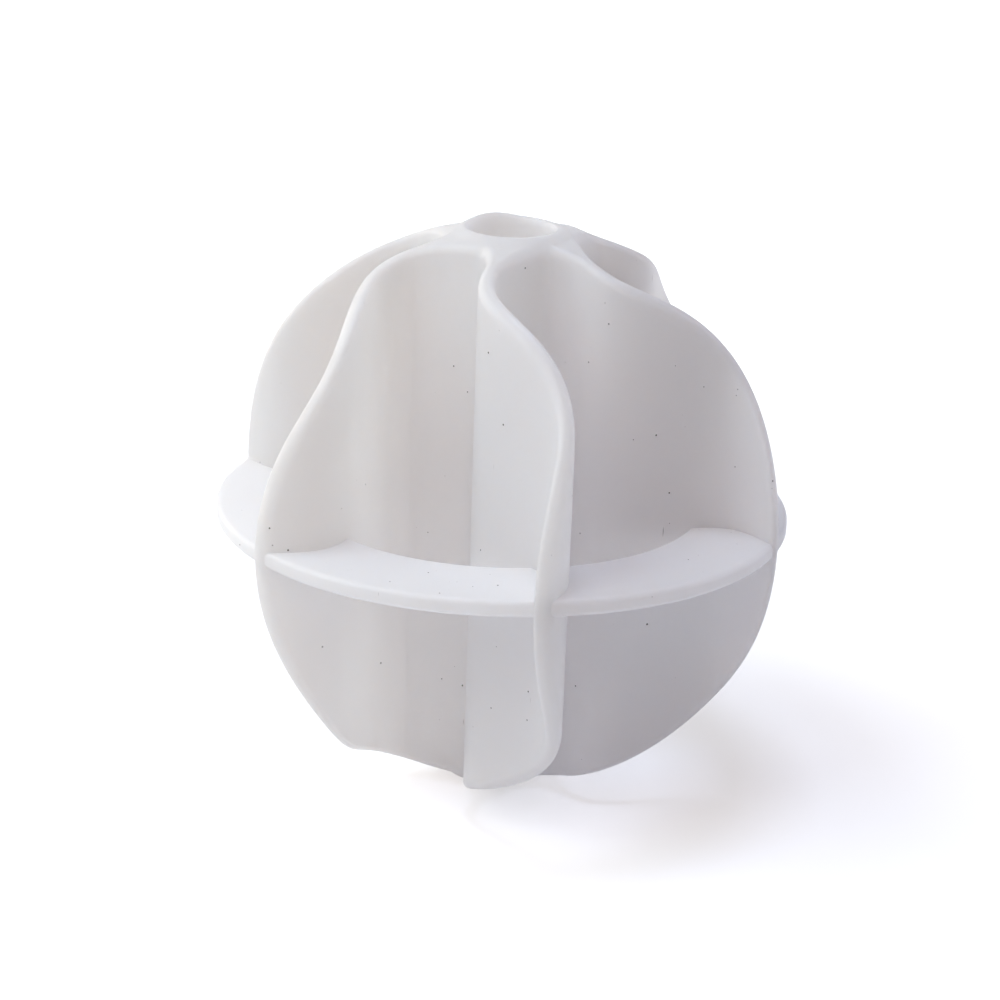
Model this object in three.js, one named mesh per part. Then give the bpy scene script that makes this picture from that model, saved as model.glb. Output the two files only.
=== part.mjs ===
// A laundry ball: six S-shaped vanes stand round a hollow hub, with a flat ring between them.
// Millimetres, +Z up along the hub's axis, origin at the ball's centre.
// The ball is the same above and below the ring's mid-plane, and repeats at every vane.

import * as THREE from "three";
import { ParametricGeometry } from "three/addons/geometries/ParametricGeometry.js";
import { mergeGeometries, mergeVertices } from "three/addons/utils/BufferGeometryUtils.js";

// Whole ball
const BALL_RADIUS = 35.2;
const VANE_COUNT = 6;
const FIRST_VANE_DEGREES = 269.2;
const JOINT_GAP = 0.3;

// Hub: a tube whose flat ends stand level with the ball's poles. A rounded valley runs down it
// between each two vanes, and between the valleys it reaches out as the vanes' roots.
const BORE_RADIUS = 5;
const HUB_WALL = 3;
const HUB_END_WIDTH = 1.6;
const HUB_SHOULDER_WIDTH = 1.8;
const ROOT_LENGTH = 4.5;

// Vanes: upright plates that swing to both sides of a radius, as a leaning sine wave
const VANE_THICKNESS = 1.9;
const VANE_RIM_ROUNDING = 0.8;
const VANE_RIM_RUN_IN = 0.2;
const WAVE_LENGTH = 37;
const WAVE_HEIGHT = 4.8;
const WAVE_LEAN = 0.37;
const WAVE_MIDDLE_RADIUS = 21.6;
const WAVE_MIDDLE_OFFSET = 2.4;

// Ring: a flat rib with rounded edges, set back from the vanes' rims and free of the hub
const RING_SETBACK = 0.3;
const RING_WIDTH = 10.6;
const RING_THICKNESS = 1.8;
const RING_EDGE_ROUNDING = 0.6;

// Facets
const VANE_STEPS = 18;
const RIM_STEPS = 6;
const VALLEY_STEPS = 10;
const SHOULDER_STEPS = 4;
const RING_STEPS = 8;
const RING_WIDTH_STEPS = 10;
const HALVINGS = 40;

const { lerp, smoothstep, degToRad } = THREE.MathUtils;
const vanePitch = (2 * Math.PI) / VANE_COUNT;
const halfVane = VANE_THICKNESS / 2;
const hubEndRadius = BORE_RADIUS + HUB_END_WIDTH;
const shoulderRadius = hubEndRadius + HUB_SHOULDER_WIDTH;
const valleyRadius = BORE_RADIUS + HUB_WALL;
const vaneRootRadius = valleyRadius + ROOT_LENGTH;
const ringOuterRadius = BALL_RADIUS - RING_SETBACK;
const ringInnerRadius = ringOuterRadius - RING_WIDTH;

// The point of a vane's plan a distance x out along its radius, and side to the left of its centreline.
function vanePlan(x, side) {
  const turn = (2 * Math.PI) / WAVE_LENGTH;
  const phase = turn * (x - WAVE_MIDDLE_RADIUS);
  const leaning = phase + WAVE_LEAN * Math.sin(phase);
  const offset = WAVE_MIDDLE_OFFSET + WAVE_HEIGHT * Math.sin(leaning);
  const slope = WAVE_HEIGHT * Math.cos(leaning) * turn * (1 + WAVE_LEAN * Math.cos(phase));
  const across = new THREE.Vector2(-slope, 1).setLength(side);
  return across.add(new THREE.Vector2(x, offset));
}

// How far out along the vane's radius that line lies at a given distance from the hub's axis.
function vaneReach(radius, side) {
  let near = 0;
  let far = radius + VANE_THICKNESS + JOINT_GAP;
  for (let halving = 0; halving < HALVINGS; halving++) {
    const middle = (near + far) / 2;
    if (vanePlan(middle, side).length() < radius) near = middle;
    else far = middle;
  }
  return (near + far) / 2;
}

// The angle round the hub at which that line lies at a given distance from the axis.
function vaneAngle(radius, side) {
  const plan = vanePlan(vaneReach(radius, side), side);
  return Math.atan2(plan.y, plan.x);
}

// The height of a ball's surface over a point a given distance from the axis.
function ballHeight(ballRadius, radius) {
  return Math.sqrt(Math.max(0, ballRadius ** 2 - radius ** 2));
}

// A closed solid from its upper skin: the skin, its mirror image below, and upright walls between
// their edges. The skin runs outwards with u and anticlockwise with v. A skin that goes all the way
// round the axis has no edges where v starts and ends.
function mirroredSolid(skin, uSteps, vSteps, allRound) {
  const underside = (u, v, point) => {
    skin(u, 1 - v, point);
    point.z = -point.z;
  };
  const wall = (edge, steps) => {
    const surface = (s, t, point) => {
      edge(s, point);
      point.z *= 1 - 2 * t;
    };
    return new ParametricGeometry(surface, steps, 1);
  };
  const faces = [
    new ParametricGeometry(skin, uSteps, vSteps),
    new ParametricGeometry(underside, uSteps, vSteps),
    wall((s, point) => skin(1, 1 - s, point), vSteps),
    wall((s, point) => skin(0, s, point), vSteps),
  ];
  if (!allRound) {
    faces.push(wall((s, point) => skin(s, 1, point), uSteps));
    faces.push(wall((s, point) => skin(1 - s, 0, point), uSteps));
  }
  const solid = mergeGeometries(faces);
  solid.deleteAttribute("normal");
  solid.deleteAttribute("uv");
  return mergeVertices(solid);
}

// The hub's outline, as a share of the way round. Each valley is an arch between the left side of
// one vane and the right side of the next, and the outline then crosses the root of that next vane.
function hubOutline(share) {
  const steps = VALLEY_STEPS + 1;
  const step = Math.round(share * VANE_COUNT * steps);
  const valley = Math.floor(step / steps);
  const lean = (Math.PI * (step % steps)) / VALLEY_STEPS - Math.PI / 2;
  const radius = valleyRadius + (ROOT_LENGTH - JOINT_GAP) * (1 - Math.cos(lean));
  const left = vaneAngle(radius, halfVane);
  const right = vaneAngle(radius, -halfVane) + vanePitch;
  const angle = (left + right) / 2 + ((right - left) / 2) * Math.sin(lean);
  return new THREE.Vector2(Math.cos(angle), Math.sin(angle))
    .multiplyScalar(radius)
    .rotateAround(new THREE.Vector2(), valley * vanePitch);
}

// The hub's upper end, from the bore (u = 0) to its outline (u = 1): one step over the flat round
// the bore, then down over a shoulder to the ball that the vanes' rims lie on.
function hubEnd(u, v, point) {
  const outline = hubOutline(v);
  const step = u * (SHOULDER_STEPS + 1);
  const overFlat = lerp(BORE_RADIUS, hubEndRadius, Math.min(1, step));
  const radius = lerp(overFlat, outline.length(), Math.max(0, step - 1) / SHOULDER_STEPS);
  const toBall = smoothstep(radius, hubEndRadius, shoulderRadius);
  outline.setLength(radius);
  point.set(outline.x, outline.y, lerp(BALL_RADIUS, ballHeight(BALL_RADIUS, radius), toBall));
}

// A vane's rim, from its root at the hub (u = 0) to its tip at the ring (u = 1), and from side to
// side (v). The rim lies on the ball and is round across, a rounding that grows from nothing at the
// root, where the rim runs into the hub's end.
function vaneRim(u, v, point) {
  const rootTilt = Math.asin(vaneRootRadius / BALL_RADIUS);
  const tipTilt = Math.PI / 2 - (Math.PI / 2 - rootTilt) / (2 * VANE_STEPS);
  const tilt = lerp(rootTilt, tipTilt, u);
  const share = (Math.sin(tilt) - Math.sin(rootTilt)) / (Math.sin(tipTilt) - Math.sin(rootTilt));
  const side = -halfVane * Math.cos(Math.PI * v);
  const drop = VANE_RIM_ROUNDING * (1 - Math.sin(Math.PI * v));
  const root = vaneReach(vaneRootRadius, side);
  const tip = vaneReach((BALL_RADIUS - drop) * Math.sin(tipTilt), side);
  const plan = vanePlan(lerp(root, tip, share), side);
  const rimRadius = BALL_RADIUS - drop * smoothstep(u, 0, VANE_RIM_RUN_IN);
  point.set(plan.x, plan.y, ballHeight(rimRadius, plan.length()));
}

// The top of a ring segment, from its inner to its outer edge (u), and from the left side of one
// vane to the right side of the next (v). Both edges are rounded.
function ringTop(u, v, point) {
  const radius = lerp(ringInnerRadius, ringOuterRadius, (1 - Math.cos(Math.PI * u)) / 2);
  const clear = halfVane + JOINT_GAP;
  const left = vaneAngle(radius, clear);
  const right = vaneAngle(radius, -clear) + vanePitch;
  const angle = lerp(left, right, v);
  const toEdge = Math.min(radius - ringInnerRadius, ringOuterRadius - radius);
  const intoEdge = Math.max(0, RING_EDGE_ROUNDING - toEdge);
  const edgeHeight = RING_THICKNESS / 2 - RING_EDGE_ROUNDING;
  const height = edgeHeight + ballHeight(RING_EDGE_ROUNDING, intoEdge);
  point.set(radius * Math.cos(angle), radius * Math.sin(angle), height);
}

// Milky, half-gloss soft plastic
function plastic() {
  return new THREE.MeshStandardMaterial({ color: 0xe6e5e8, roughness: 0.42, metalness: 0 });
}

function namedMesh(name, geometry) {
  const mesh = new THREE.Mesh(geometry, plastic());
  mesh.name = name;
  return mesh;
}

const hub = mirroredSolid(hubEnd, SHOULDER_STEPS + 1, VANE_COUNT * (VALLEY_STEPS + 1), true);
const vane = mirroredSolid(vaneRim, VANE_STEPS, RIM_STEPS, false);
const ringSegment = mirroredSolid(ringTop, RING_WIDTH_STEPS, RING_STEPS, false);

const moulding = new THREE.Group();
moulding.rotation.z = degToRad(FIRST_VANE_DEGREES);
moulding.add(namedMesh("hub", hub));
for (let number = 1; number <= VANE_COUNT; number++) {
  const sector = new THREE.Group();
  sector.rotation.z = (number - 1) * vanePitch;
  sector.add(namedMesh(`vane_${number}`, vane));
  sector.add(namedMesh(`ring_segment_${number}`, ringSegment));
  moulding.add(sector);
}

const laundryBall = new THREE.Group();
laundryBall.add(moulding);

export default laundryBall;
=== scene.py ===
"""A laundry ball of milky soft plastic on a pale studio floor. Metres, +Z up the hub's axis."""

import bpy
import numpy as np
from mathutils import Matrix, Vector


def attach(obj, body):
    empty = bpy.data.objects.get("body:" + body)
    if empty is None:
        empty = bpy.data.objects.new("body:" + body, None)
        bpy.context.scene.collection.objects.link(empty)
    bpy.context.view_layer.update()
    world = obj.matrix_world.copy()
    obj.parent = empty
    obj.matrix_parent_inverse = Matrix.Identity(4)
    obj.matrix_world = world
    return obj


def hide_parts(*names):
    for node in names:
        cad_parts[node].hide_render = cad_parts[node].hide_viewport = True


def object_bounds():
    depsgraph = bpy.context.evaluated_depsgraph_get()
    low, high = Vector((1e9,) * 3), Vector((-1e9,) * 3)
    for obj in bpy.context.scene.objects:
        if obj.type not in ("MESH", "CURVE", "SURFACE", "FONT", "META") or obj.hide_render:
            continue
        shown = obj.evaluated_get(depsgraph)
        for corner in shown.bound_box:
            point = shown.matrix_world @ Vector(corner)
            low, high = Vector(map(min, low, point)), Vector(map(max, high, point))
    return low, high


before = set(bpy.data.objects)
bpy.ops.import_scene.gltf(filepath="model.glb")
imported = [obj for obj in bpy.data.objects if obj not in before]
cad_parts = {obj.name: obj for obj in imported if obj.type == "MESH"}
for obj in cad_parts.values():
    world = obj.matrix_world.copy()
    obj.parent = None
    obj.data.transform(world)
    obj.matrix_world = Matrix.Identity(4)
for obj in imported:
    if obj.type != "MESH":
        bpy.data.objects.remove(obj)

cad_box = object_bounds()

MM = 0.001

# Sizes in millimetres, the same as the solids'
BALL_RADIUS = 35.2
VANE_COUNT = 6
FIRST_VANE_DEGREES = 269.2
VANE_THICKNESS = 1.9
WAVE_LENGTH = 37
WAVE_HEIGHT = 4.8
WAVE_LEAN = 0.37
WAVE_MIDDLE_RADIUS = 21.6
WAVE_MIDDLE_OFFSET = 2.4
BORE_RADIUS = 5.0
VALLEY_RADIUS = 8.0
RING_INNER_RADIUS = 24.3
RING_OUTER_RADIUS = 34.9
RING_THICKNESS = 1.8

# Sizes of the skins alone, in millimetres: where a vane meets the hub, the bead round the bore, roundings
# and small offsets
ROOT_REACH = 12.0
BEAD_CREST_RADIUS = 5.6
BEAD_FOOT_RADIUS = 7.4
RIM_ROUNDING = 0.8
BORE_ROUNDING = 1.5
POLE_FLATTENING = 0.35
POLE_RADIUS = 10
POLE_FADE_RADIUS = 24
VALLEY_ROUNDING = 1.4
RING_SWELL = 0.1
RING_OUTER_ROUNDING = 0.6
RING_INNER_ROUNDING = 0.35
RING_SINK = 0.4

# Shares of the pitch that a vane's root, and the lines across it, take up round the bead's crest
ROOT_SPREAD = 0.03
CROSSING_SPREAD = 0.018

# The hub's upper end isn't quite like its lower end, in millimetres and degrees
LIP_DROP = 0.4
LIP_RISE = 0.55
LIP_RISE_DEGREES = 115
SHOULDER_RISE = 0.35
SHOULDER_DEGREES = 40
SHOULDER_RADIUS = 8.4
SHOULDER_WIDTH = 1.6
BELL_SHARPNESS = 5.5

# Moulding marks on the ring's rim, in millimetres and degrees
FLASH_RISE = 0.05
FLASH_WAVE = 3.1
FLASH_SINES = ((1, 0), (2.3, 1), (5.1, 2))  # each as its pace and its start
GATE_SEGMENT = 1
GATE_DEGREES = 20.6
GATE_WIDTH = 0.5
GATE_RISE = 0.09

# How often a search halves its range, and the turn between two faces past which their edge stays sharp
HALVINGS = 44
SHARP_DEGREES = 50

PITCH = 2 * np.pi / VANE_COUNT
HALF_VANE = VANE_THICKNESS / 2
HALF_RING = RING_THICKNESS / 2 + RING_SWELL


def lerp(start, end, share):
    """The point a share of the way from start to end."""
    return start + (end - start) * share


def ease(value, low, high):
    """0 below low, 1 above high, and a smooth S between them."""
    share = np.clip((value - low) / (high - low), 0, 1)
    return share * share * (3 - 2 * share)


def quarter(steps):
    """Angles over a quarter turn, both ends among them."""
    return np.linspace(0, np.pi / 2, steps + 1)


def flattening(radius):
    """How far the rims lie below a true ball near its poles, at a distance from the axis."""
    return POLE_FLATTENING * (1 - ease(radius, POLE_RADIUS, POLE_FADE_RADIUS))


def ball_height(ball_radius, radius):
    """Height of the flattened ball's surface over a point that far from its axis."""
    return np.sqrt(np.maximum(ball_radius**2 - radius**2, 0)) - flattening(radius)


def vane_plan(x, side):
    """A vane seen from above, as complex numbers: a sine wave along x whose phase leans with a second
    sine, moved by side along its own normal."""
    turn = 2 * np.pi / WAVE_LENGTH
    phase = turn * (x - WAVE_MIDDLE_RADIUS)
    leaning = phase + WAVE_LEAN * np.sin(phase)
    offset = WAVE_MIDDLE_OFFSET + WAVE_HEIGHT * np.sin(leaning)
    slope = WAVE_HEIGHT * np.cos(leaning) * turn * (1 + WAVE_LEAN * np.cos(phase))
    normal = (1j - slope) / np.hypot(1, slope)
    return x + 1j * offset + side * normal


def vane_reach(radius, side):
    """The x at which that line is a given distance from the axis, found by halving."""
    near = np.zeros(np.broadcast(radius, side).shape)
    far = near + radius + VANE_THICKNESS
    for _ in range(HALVINGS):
        middle = (near + far) / 2
        short = np.abs(vane_plan(middle, side)) < radius
        near = np.where(short, middle, near)
        far = np.where(short, far, middle)
    return (near + far) / 2


def rim_round(steps):
    """A rounded corner, as how far each point lies in from the wall and down from the rim."""
    turn = quarter(steps)
    return RIM_ROUNDING * (1 - np.cos(turn)), RIM_ROUNDING * (1 - np.sin(turn))


def place(plan, height):
    """Points in the ball's frame, in metres, from complex plan points and heights."""
    turned = plan * np.exp(1j * np.radians(FIRST_VANE_DEGREES))
    return np.stack(np.broadcast_arrays(turned.real, turned.imag, height), -1) * MM


def vane_grid(number):
    """A vane: the profile across it, up the left face, over the rounded rim and down the right face,
    carried round the rim from the root's lower end, out past the ring, to the root's upper end."""
    rim_stations, face_steps, round_steps, flat_steps = 150, 40, 7, 4
    along = np.linspace(-1, 1, rim_stations + 1)[:, None]
    inset, drop = rim_round(round_steps)
    flat = np.linspace(1, -1, flat_steps + 1)[1:-1] * (HALF_VANE - RIM_ROUNDING)
    side = np.concatenate([HALF_VANE - inset, flat, -(HALF_VANE - inset)[::-1]])
    drop = np.concatenate([drop, np.zeros(flat.size), drop[::-1]])
    # The rim: each line of it runs from the root round to the root on its own slightly smaller ball.
    line_radius = BALL_RADIUS - drop
    latitude = along * np.arccos(np.abs(vane_plan(ROOT_REACH, side)) / line_radius)
    rim_x = vane_reach(line_radius * np.cos(latitude), side)
    rim_plan = vane_plan(rim_x, side)
    rim_height = line_radius * np.sin(latitude) - np.sign(along) * flattening(np.abs(rim_plan))
    # The faces: straight spokes from the root's upright edge to the start of the rim's rounding.
    share = np.linspace(0, 1, face_steps + 1)[None, :-1]
    faces = []
    for column, face_side in ((0, HALF_VANE), (-1, -HALF_VANE)):
        end_x = rim_x[:, [column]]
        end_height = rim_height[:, [column]]
        plan = vane_plan(lerp(ROOT_REACH, end_x, share), face_side)
        height = lerp(along * end_height[-1], end_height, share)
        faces.append((plan, height))
    (left, left_height), (right, right_height) = faces
    plan = np.concatenate([left, rim_plan, right[:, ::-1]], 1)
    height = np.concatenate([left_height, rim_height, right_height[:, ::-1]], 1)
    return place(plan * np.exp(1j * PITCH * (number - 1)), height)


def bead_share(radius):
    """1 inside the crest of the bead round the bore, easing to 0 at its foot."""
    return 1 - ease(radius, BEAD_CREST_RADIUS, BEAD_FOOT_RADIUS)


def hub_end(radius, drop):
    """Height of the hub's end: level inside the bead's crest, a drop below the ball outside its foot."""
    level = BALL_RADIUS - ball_height(BALL_RADIUS, radius)
    return ball_height(BALL_RADIUS - drop, radius) + level * bead_share(radius)


def bell_round(turn, degrees):
    """A bell about one direction round the axis: the exponential of a cosine."""
    return np.exp(BELL_SHARPNESS * (np.cos(turn - np.radians(degrees)) - 1))


def uneven_end(plan):
    """How far the hub's upper end stands above a mirror image of the lower one: its lip is a little low,
    but rises in a bell at the back, and on the right a shoulder, a bell too, leads into the vanes' rims."""
    radius = np.abs(plan)
    turn = np.angle(plan) + np.radians(FIRST_VANE_DEGREES)
    lip = LIP_RISE * bell_round(turn, LIP_RISE_DEGREES) - LIP_DROP
    across = np.exp(-(((radius - SHOULDER_RADIUS) / SHOULDER_WIDTH) ** 2))
    return lip * bead_share(radius) + SHOULDER_RISE * bell_round(turn, SHOULDER_DEGREES) * across


def valley_outline(steps):
    """The hub's wall between two vanes, from the left face of one to the right face of the next: an
    arch whose radius grows as a cosine and whose angle swings as a sine between the two faces."""
    lean = np.linspace(-np.pi / 2, np.pi / 2, steps + 1)
    ends = np.abs(vane_plan(ROOT_REACH, np.array([HALF_VANE, -HALF_VANE])))
    swing = np.sin(lean)
    radius = lerp(VALLEY_RADIUS, lerp(ends[0], ends[1], (1 + swing) / 2), 1 - np.cos(lean))
    left = np.angle(vane_plan(vane_reach(radius, HALF_VANE), HALF_VANE))
    right = np.angle(vane_plan(vane_reach(radius, -HALF_VANE), -HALF_VANE)) + PITCH
    outline = radius * np.exp(1j * lerp(left, right, (1 + swing) / 2))
    tangent = np.gradient(outline, lean)
    inward = 1j * tangent / np.abs(tangent)
    for end, side, turn in ((0, HALF_VANE, 1), (-1, -HALF_VANE, np.exp(1j * PITCH))):
        across = vane_plan(ROOT_REACH, 0) - vane_plan(ROOT_REACH, side)
        inward[end] = across / np.abs(across) * turn
    return outline, inward, swing


def hub_grid():
    """The hub: its profile, up the outer wall, over the rounded edge and the bead and down the bore, and
    the same mirrored below, carried round the six valleys and across the root of each vane."""
    valley_steps, crossing_steps, wall_steps, round_steps = 56, 4, 24, 7
    top_steps, bead_steps, bore_steps = 14, 10, 24
    outline, inward, swing = valley_outline(valley_steps)
    inset, drop = rim_round(round_steps)
    # Stations on the wall of a valley, then stations across the root of the next vane.
    across = np.linspace(-1, 1, crossing_steps + 1)[1:-1]
    crossing = vane_plan(ROOT_REACH, across * (HALF_VANE - RIM_ROUNDING)) * np.exp(1j * PITCH)
    wider = lerp(VALLEY_ROUNDING / RIM_ROUNDING, 1, swing**2)[:, None]
    edge = outline[:, None] + inward[:, None] * wider * inset
    edge = np.concatenate([edge, np.repeat(crossing[:, None], inset.size, 1)])
    edge_drop = np.concatenate([wider * drop, np.zeros((across.size, drop.size))])
    edge_height = hub_end(np.abs(edge), edge_drop)
    wall_share = np.linspace(0, 1, wall_steps + 1)[:-1]
    wall = np.repeat(edge[:, :1], wall_steps, 1)
    wall_height = edge_height[:, :1] * wall_share
    # The top runs from that edge to the bead's crest, on lines that spread evenly round the crest.
    root_angle = np.angle(vane_plan(ROOT_REACH, 0))
    crest_angle = root_angle + PITCH * lerp(ROOT_SPREAD, 1 - ROOT_SPREAD, (1 + swing) / 2)
    cross_angle = root_angle + PITCH * (1 + CROSSING_SPREAD * across)
    crest = BEAD_CREST_RADIUS * np.exp(1j * np.concatenate([crest_angle, cross_angle]))[:, None]
    top = lerp(edge[:, -1:], crest, np.linspace(0, 1, top_steps + 1)[1:])
    top_height = hub_end(np.abs(top), 0)
    # The bead's inner side rounds into the bore.
    turn = quarter(bead_steps)[1:]
    bead_radius = lerp(BEAD_CREST_RADIUS, BORE_RADIUS, np.sin(turn))
    bead = crest / BEAD_CREST_RADIUS * bead_radius
    bead_height = np.broadcast_to(BALL_RADIUS - BORE_ROUNDING * (1 - np.cos(turn)), bead.shape)
    bore = np.repeat(bead[:, -1:], bore_steps, 1)
    bore_share = np.linspace(1, 0, bore_steps + 1)[1:]
    bore_height = np.broadcast_to((BALL_RADIUS - BORE_ROUNDING) * bore_share, bore.shape)
    upper = np.concatenate([wall, edge, top, bead, bore], 1)
    height = np.concatenate([wall_height, edge_height, top_height, bead_height, bore_height], 1)
    # The upper end's own unevenness fades out down the outer wall and down the bore.
    end_steps = upper.shape[1] - wall_steps - bore_steps
    fade = np.concatenate([wall_share, np.ones(end_steps), bore_share, np.zeros(upper.shape[1] - 2)])
    lower = slice(-2, 0, -1)
    plan = np.concatenate([upper, upper[:, lower]], 1)
    height = np.concatenate([height, -height[:, lower]], 1)
    turns = np.exp(1j * PITCH * np.arange(VANE_COUNT))[:, None, None]
    plan = (plan * turns).reshape(-1, plan.shape[1])
    return place(plan, np.tile(height, (VANE_COUNT, 1)) + fade * uneven_end(plan))


def ring_profile():
    """The ring's section as distances from the axis and heights: a flat bar with four rounded edges.
    Also how far each point faces outwards, and the same for the lower outer edge alone."""
    edge_steps, flat_steps = 6, 16
    turn = quarter(edge_steps)
    inner = RING_INNER_RADIUS + RING_INNER_ROUNDING * (1 - np.cos(turn))
    inner_height = HALF_RING - RING_INNER_ROUNDING * (1 - np.sin(turn))
    outer = RING_OUTER_RADIUS - RING_OUTER_ROUNDING * (1 - np.cos(turn[::-1]))
    outer_height = HALF_RING - RING_OUTER_ROUNDING * (1 - np.sin(turn[::-1]))
    flat = np.linspace(inner[-1], outer[0], flat_steps + 1)[1:-1]
    radius = np.concatenate([[RING_INNER_RADIUS], inner, flat, outer, [RING_OUTER_RADIUS]])
    height = np.concatenate([[0], inner_height, np.full(flat.size, HALF_RING), outer_height, [0]])
    outwards = np.concatenate([np.zeros(1 + inner.size + flat.size), np.cos(turn[::-1]), [1]])
    mirror = slice(-2, 0, -1)
    lower = np.concatenate([np.zeros(radius.size), outwards[mirror]])
    radius, outwards = (np.concatenate([upper, upper[mirror]]) for upper in (radius, outwards))
    return radius, np.concatenate([height, -height[mirror]]), outwards, lower


def rim_marks(number, angle, outwards, lower):
    """How far the ring's rim stands out at an angle: a thin wavy line of flash along its lower edge, the
    mean of some sines, and on one segment the upright bell-shaped ridge that the gate leaves."""
    arc = RING_OUTER_RADIUS * angle / FLASH_WAVE + number
    wave = sum(np.sin(pace * arc + start) for pace, start in FLASH_SINES) / len(FLASH_SINES)
    flash = FLASH_RISE * (1 + wave) / 2
    off_gate = RING_OUTER_RADIUS * (angle - np.radians(GATE_DEGREES)) / GATE_WIDTH
    gate = GATE_RISE * np.exp(-(off_gate**2)) * (number == GATE_SEGMENT)
    return flash * lower + gate * outwards


def ring_grid(number):
    """A ring segment: its section carried round from just inside one vane to just inside the next."""
    span_steps = 150
    radius, height, outwards, lower = ring_profile()
    sunk = HALF_VANE - RING_SINK
    left = np.angle(vane_plan(vane_reach(radius, sunk), sunk))
    right = np.angle(vane_plan(vane_reach(radius, -sunk), -sunk)) + PITCH
    share = np.linspace(0, 1, span_steps + 1)[:, None]
    angle = lerp(left, right, share)
    marks = np.sin(np.pi * share) * rim_marks(number, angle, outwards, lower)
    plan = (radius + marks) * np.exp(1j * (angle + PITCH * (number - 1)))
    return place(plan, height)


def skin_piece(name, grid, closed_rows, material):
    """A closed skin through a grid of points. Each row is a loop. The rows either join up end to end, or
    the first and the last are each closed onto a point in their middle. Points that coincide are one
    vertex, flat triangles are left out, and a skin of negative volume is turned to face outwards."""
    if not closed_rows:
        first, last = (np.broadcast_to(row.mean(0), (1, *row.shape)) for row in (grid[0], grid[-1]))
        grid = np.concatenate([first, grid, last])
    rows, columns = grid.shape[:2]
    row, column = np.mgrid[0 : rows - (not closed_rows), 0:columns]
    next_row, next_column = (row + 1) % rows, (column + 1) % columns
    corners = [(row, column), (row, next_column), (next_row, next_column), (next_row, column)]
    corner = [(r * columns + c).ravel() for r, c in corners]
    triangles = np.concatenate([np.stack(corner[:3], 1), np.stack([corner[0], corner[2], corner[3]], 1)])
    fineness = 1e-8
    points = grid.reshape(-1, 3)
    cells = np.round(points / fineness)
    _, kept, merged = np.unique(cells, axis=0, return_index=True, return_inverse=True)
    points = points[kept]
    triangles = merged.ravel()[triangles]
    ends = np.roll(triangles, 1, 1)
    triangles = triangles[(triangles != ends).all(1)]
    a, b, c = (points[triangles[:, k]] for k in range(3))
    if np.einsum("ij,ij->", a, np.cross(b, c)) < 0:
        triangles = triangles[:, ::-1]
    mesh = bpy.data.meshes.new(name)
    mesh.from_pydata(points.tolist(), [], triangles.tolist())
    mesh.shade_smooth()
    mesh.set_sharp_from_angle(angle=np.radians(SHARP_DEGREES))
    mesh.materials.append(material)
    piece = bpy.data.objects.new(name, mesh)
    bpy.context.scene.collection.objects.link(piece)
    return piece


def linear(hex_colour):
    """An sRGB hex colour as linear red, green, blue and alpha."""
    channels = np.array([int(hex_colour[k : k + 2], 16) for k in (1, 3, 5)]) / 255
    low, high = channels / 12.92, ((channels + 0.055) / 1.055) ** 2.4
    return (*np.where(channels <= 0.04045, low, high).tolist(), 1.0)


def add_node(tree, kind, inputs, **settings):
    """Adds one node. Settings are its own properties, an input is a value or the output that feeds it."""
    made = tree.nodes.new("ShaderNode" + kind)
    for name, value in settings.items():
        setattr(made, name, value)
    for socket, value in inputs.items():
        if isinstance(value, bpy.types.NodeSocket):
            tree.links.new(value, made.inputs[socket])
        else:
            made.inputs[socket].default_value = value
    return made


def empty_material(name):
    """A new material, and its node tree with nothing in it yet."""
    material = bpy.data.materials.new(name)
    material.use_nodes = True
    tree = material.node_tree
    tree.nodes.clear()
    return material, tree


def per_size(size_mm):
    """The texture scale that makes a pattern's features that many millimetres wide."""
    return 1 / (size_mm * MM)


# Marks in the plastic, in millimetres. They are drawn a little coarser than real ones, so as to show.
CLOUD_SIZE = 13
SPECK_SPACING = 2.0
SPECK_RADIUS = 0.14
HAIRLINE_RADIUS = 0.05
HAIRLINE_SPACING = (1.4, 1.4, 24)
HAIRLINE_TILT = (14, -9, 0)
GRAIN_SIZE = 0.5
DRAW_MARK_SIZE = (0.6, 0.6, 9)
RELIEF = 0.004

# How strongly the relief shows, the soft edge of a mark as a share of its cell, and the patterns' fineness
RELIEF_STRENGTH = 0.35
MARK_EDGE = 0.02
GRAIN_DETAIL = 3.0
SOFT_DETAIL = 2.0

# What the plastic does with light: its colour and its marks', the width of its sheen, the share of light
# that goes through a skin, and how far the rest spreads inside, in millimetres, for red, green and blue
PLASTIC_WHITE = "#fdfcfc"
MARK_BROWN = "#4f4845"
POLYETHYLENE_IOR = 1.51
SHEEN_ROUGHNESS = (0.26, 0.36)
LET_THROUGH = (0.42, 0.58)
SCATTER_REACH = 0.8
SCATTER_SHARES = (1.0, 0.95, 0.9)


def spots(tree, where, spacing, radius, softness):
    """1 at points scattered at random, one to a cell, and 0 away from them. Radius is that of the largest
    spot, and softness the width of a spot's edge, both in cells."""
    cells = add_node(tree, "TexVoronoi", {"Vector": where, "Scale": spacing})
    luck = add_node(tree, "SeparateColor", {"Color": cells.outputs["Color"]})
    reach = add_node(tree, "Math", {0: luck.outputs["Red"], 1: radius}, operation="MULTIPLY")
    depth = add_node(tree, "Math", {
        0: reach.outputs[0], 1: cells.outputs["Distance"],
    }, operation="SUBTRACT")
    return add_node(tree, "Math", {
        0: depth.outputs[0], 1: softness,
    }, operation="DIVIDE", use_clamp=True).outputs[0]


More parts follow.
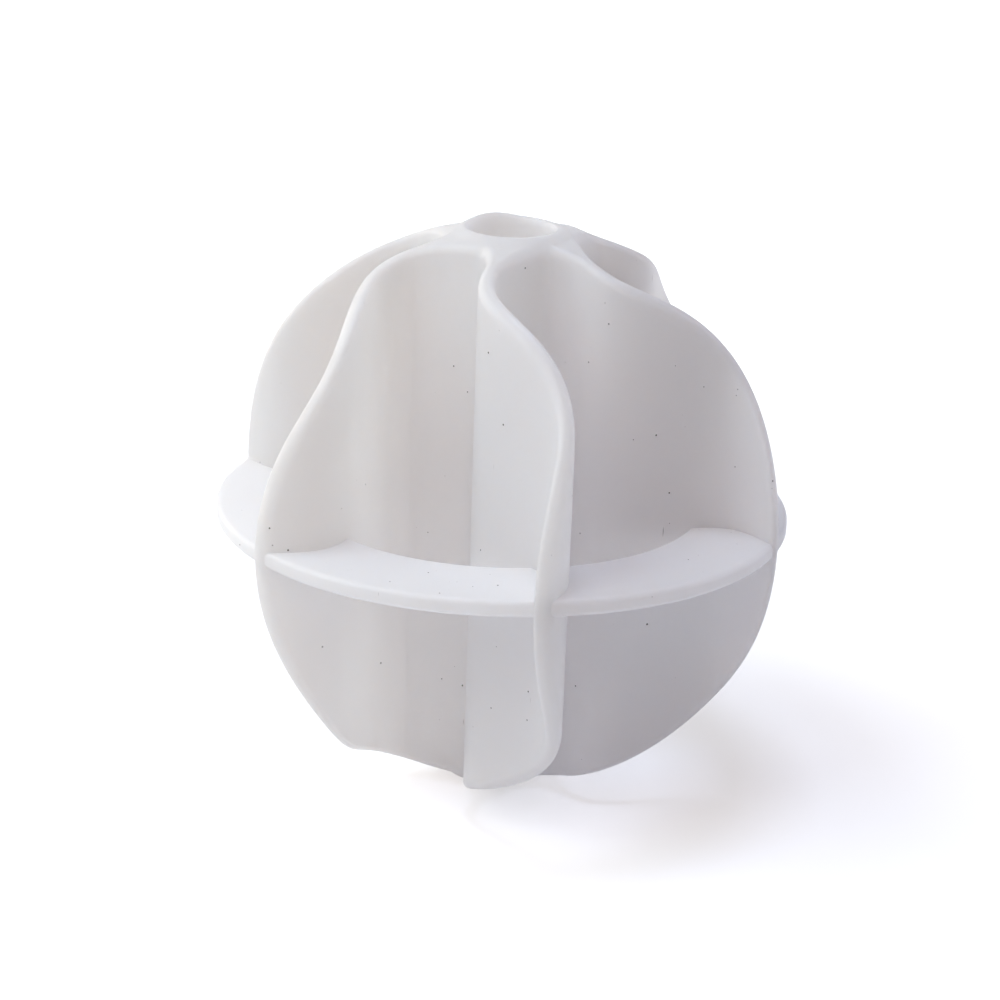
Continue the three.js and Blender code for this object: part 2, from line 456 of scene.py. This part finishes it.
def milky_polyethylene():
    """Milky low-density polyethylene, injection moulded in a satin mould. Hardly any light is lost in it:
    half goes through each skin, so that thin walls glow and hollows stay pale, and the rest spreads inside
    before it comes out, so that edges and joints look soft. Light that has gone far is warmer. The plastic
    has a soft sheen, cloudy swirls, dark specks and a few hairline scratches."""
    material, tree = empty_material("milky_polyethylene")
    where = add_node(tree, "TexCoord", {}).outputs["Object"]
    specks = spots(tree, where, per_size(SPECK_SPACING), SPECK_RADIUS / SPECK_SPACING, MARK_EDGE)
    tilted = add_node(tree, "Mapping", {
        "Vector": where,
        "Rotation": np.radians(HAIRLINE_TILT),
        "Scale": [per_size(size) for size in HAIRLINE_SPACING],
    })
    hairline_reach = HAIRLINE_RADIUS / HAIRLINE_SPACING[0]
    hairlines = spots(tree, tilted.outputs["Vector"], 1.0, hairline_reach, MARK_EDGE)
    marks = add_node(tree, "Math", {0: specks, 1: hairlines}, operation="MAXIMUM")
    white = add_node(tree, "Mix", {
        "Factor": marks.outputs[0], "A": linear(PLASTIC_WHITE), "B": linear(MARK_BROWN),
    }, data_type="RGBA")
    # A satin grain and faint upright draw marks: the sheen's width and the relief follow them.
    grain = add_node(tree, "TexNoise", {
        "Vector": where, "Scale": per_size(GRAIN_SIZE), "Detail": GRAIN_DETAIL,
    })
    drawn = add_node(tree, "Mapping", {
        "Vector": where, "Scale": [per_size(size) for size in DRAW_MARK_SIZE],
    })
    streaks = add_node(tree, "TexNoise", {
        "Vector": drawn.outputs["Vector"], "Scale": 1.0, "Detail": SOFT_DETAIL,
    })
    height = add_node(tree, "Math", {0: grain.outputs["Fac"], 1: streaks.outputs["Fac"]}, operation="ADD")
    relief = add_node(tree, "Bump", {
        "Strength": RELIEF_STRENGTH, "Distance": RELIEF * MM, "Height": height.outputs[0],
    })
    sheen = add_node(tree, "MapRange", {
        "Value": streaks.outputs["Fac"], "To Min": SHEEN_ROUGHNESS[0], "To Max": SHEEN_ROUGHNESS[1],
    })
    surface = add_node(tree, "BsdfPrincipled", {
        "Base Color": white.outputs["Result"], "Roughness": sheen.outputs["Result"],
        "IOR": POLYETHYLENE_IOR, "Normal": relief.outputs["Normal"], "Subsurface Weight": 1.0,
        "Subsurface Radius": SCATTER_SHARES, "Subsurface Scale": SCATTER_REACH * MM,
    })
    through = add_node(tree, "BsdfTranslucent", {"Color": white.outputs["Result"]})
    cloud = add_node(tree, "TexNoise", {
        "Vector": where, "Scale": per_size(CLOUD_SIZE), "Detail": SOFT_DETAIL,
    })
    share = add_node(tree, "MapRange", {
        "Value": cloud.outputs["Fac"], "To Min": LET_THROUGH[0], "To Max": LET_THROUGH[1],
    })
    both = add_node(tree, "MixShader", {
        "Fac": share.outputs["Result"], 1: surface.outputs["BSDF"], 2: through.outputs["BSDF"],
    })
    add_node(tree, "OutputMaterial", {"Surface": both.outputs["Shader"]})
    return material


def build_ball():
    """The hub, the vanes and the ring segments, each in the place of its solid."""
    plastic = milky_polyethylene()
    pieces = {"hub": skin_piece("moulded_hub", hub_grid(), True, plastic)}
    for number in range(1, VANE_COUNT + 1):
        pieces[f"vane_{number}"] = skin_piece(
            f"moulded_vane_{number}", vane_grid(number), False, plastic
        )
        pieces[f"ring_segment_{number}"] = skin_piece(
            f"moulded_ring_segment_{number}", ring_grid(number), False, plastic
        )
    for node, piece in pieces.items():
        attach(piece, "root")
        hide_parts(node)


# Camera, in millimetres, degrees and pixels of a picture 1000 wide
CAMERA_DISTANCE = 294.1
CAMERA_ELEVATION = 19.375
CAMERA_ROLL = 1.978
PICTURE_SIZE = 1000
FOCAL_PIXELS = 2388.3
CENTRE_PIXEL = (502.02, 504.07)
CLIP_METRES = (0.01, 100)


def add_camera():
    """The camera looks at the ball's centre from -Y and above, rolled a little."""
    data = bpy.data.cameras.new("camera")
    data.lens = data.sensor_width * FOCAL_PIXELS / PICTURE_SIZE
    data.shift_x = (PICTURE_SIZE / 2 - CENTRE_PIXEL[0]) / PICTURE_SIZE
    data.shift_y = (CENTRE_PIXEL[1] - PICTURE_SIZE / 2) / PICTURE_SIZE
    data.clip_start, data.clip_end = CLIP_METRES
    camera = bpy.data.objects.new("camera", data)
    elevation = np.radians(CAMERA_ELEVATION)
    back = Vector((0, -np.cos(elevation), np.sin(elevation)))
    aim = back.to_track_quat("Z", "Y").to_matrix() @ Matrix.Rotation(np.radians(CAMERA_ROLL), 3, "Z")
    camera.matrix_world = Matrix.Translation(back * CAMERA_DISTANCE * MM) @ aim.to_4x4()
    bpy.context.scene.collection.objects.link(camera)
    bpy.context.scene.camera = camera


def seen_directly(tree):
    """1 for rays from the camera and from gloss, 0 for rays that carry light. Light that goes through the
    milky walls travels as transmission rays, so those count as carrying light too."""
    path = add_node(tree, "LightPath", {})
    camera_or_gloss = add_node(tree, "Math", {
        0: path.outputs["Is Camera Ray"], 1: path.outputs["Is Glossy Ray"],
    }, operation="MAXIMUM")
    return camera_or_gloss.outputs[0]


# The floor's colour, and the glow that is only seen, from near the ball to further out, in metres
FLOOR_WHITE = "#ededef"
FLOOR_GLOW = (0.4, 1.0)
FLOOR_GLOW_REACH = (0.05, 0.3)
FLOOR_HALF_WIDTH = 6.0


def add_floor():
    """A pale floor under the ball. Near the ball it is lit as any floor is, so that it keeps the ball's
    shadow, and further out, where the lamps no longer reach, it is white to the eye."""
    material, tree = empty_material("pale_floor")
    where = add_node(tree, "TexCoord", {}).outputs["Object"]
    distance = add_node(tree, "VectorMath", {0: where}, operation="LENGTH")
    strength = add_node(tree, "MapRange", {
        "Value": distance.outputs["Value"],
        "From Min": FLOOR_GLOW_REACH[0], "From Max": FLOOR_GLOW_REACH[1],
        "To Min": FLOOR_GLOW[0], "To Max": FLOOR_GLOW[1],
    })
    paint = add_node(tree, "BsdfDiffuse", {"Color": linear(FLOOR_WHITE)})
    glow = add_node(tree, "Emission", {"Color": (1, 1, 1, 1), "Strength": strength.outputs["Result"]})
    glowing = add_node(tree, "AddShader", {0: paint.outputs["BSDF"], 1: glow.outputs["Emission"]})
    shown = add_node(tree, "MixShader", {
        "Fac": seen_directly(tree), 1: paint.outputs["BSDF"], 2: glowing.outputs["Shader"],
    })
    add_node(tree, "OutputMaterial", {"Surface": shown.outputs["Shader"]})
    height = cad_box[0].z
    square = ((-1, -1), (1, -1), (1, 1), (-1, 1))
    corners = [(FLOOR_HALF_WIDTH * x, FLOOR_HALF_WIDTH * y, height) for x, y in square]
    mesh = bpy.data.meshes.new("studio_floor")
    mesh.from_pydata(corners, [], [(0, 1, 2, 3)])
    mesh.materials.append(material)
    floor = bpy.data.objects.new("studio_floor", mesh)
    bpy.context.scene.collection.objects.link(floor)


def add_world():
    """A white background that gives no light of its own."""
    world = bpy.data.worlds.new("studio")
    bpy.context.scene.world = world
    world.use_nodes = True
    tree = world.node_tree
    tree.nodes.clear()
    white = add_node(tree, "Background", {"Color": (1, 1, 1, 1), "Strength": seen_directly(tree)})
    add_node(tree, "OutputWorld", {"Surface": white.outputs["Background"]})


# Soft studio light: cool from the left and from above, warmer from behind on the left and a little from
# the front. Each softbox has its azimuth and elevation in degrees, its width in metres, its power in watts
# and its colour.
SOFTBOX_DISTANCE = 0.9
SOFTBOXES = {
    "left_softbox": (200, 45, 0.8, 5.75, "#e6f7ff"),
    "top_softbox": (200, 90, 0.3, 2.5, "#d6e3ff"),
    "back_left_softbox": (150, 20, 0.8, 4.2, "#fff2de"),
    "back_right_softbox": (20, 20, 0.8, 2.45, "#f2efff"),
    "front_softbox": (250, 45, 0.8, 1.85, "#ffd6b5"),
}
LIGHT_BOUNCES = 12


def add_softbox(name, azimuth, elevation, width, watts, colour):
    """A square soft light that faces the ball. Azimuth turns anticlockwise from +X."""
    data = bpy.data.lights.new(name, "AREA")
    data.size = width
    data.energy = watts
    data.color = linear(colour)[:3]
    lamp = bpy.data.objects.new(name, data)
    turn, rise = np.radians(azimuth), np.radians(elevation)
    towards = Vector((np.cos(rise) * np.cos(turn), np.cos(rise) * np.sin(turn), np.sin(rise)))
    lamp.location = towards * SOFTBOX_DISTANCE
    lamp.rotation_euler = towards.to_track_quat("Z", "Y").to_euler()
    bpy.context.scene.collection.objects.link(lamp)


add_camera()
build_ball()
add_floor()
add_world()
for lamp_name, lamp_settings in SOFTBOXES.items():
    add_softbox(lamp_name, *lamp_settings)

# Light passes through the pale walls many times before it is lost.
bpy.context.scene.cycles.diffuse_bounces = LIGHT_BOUNCES

bpy.context.scene.view_settings.view_transform = "Standard"
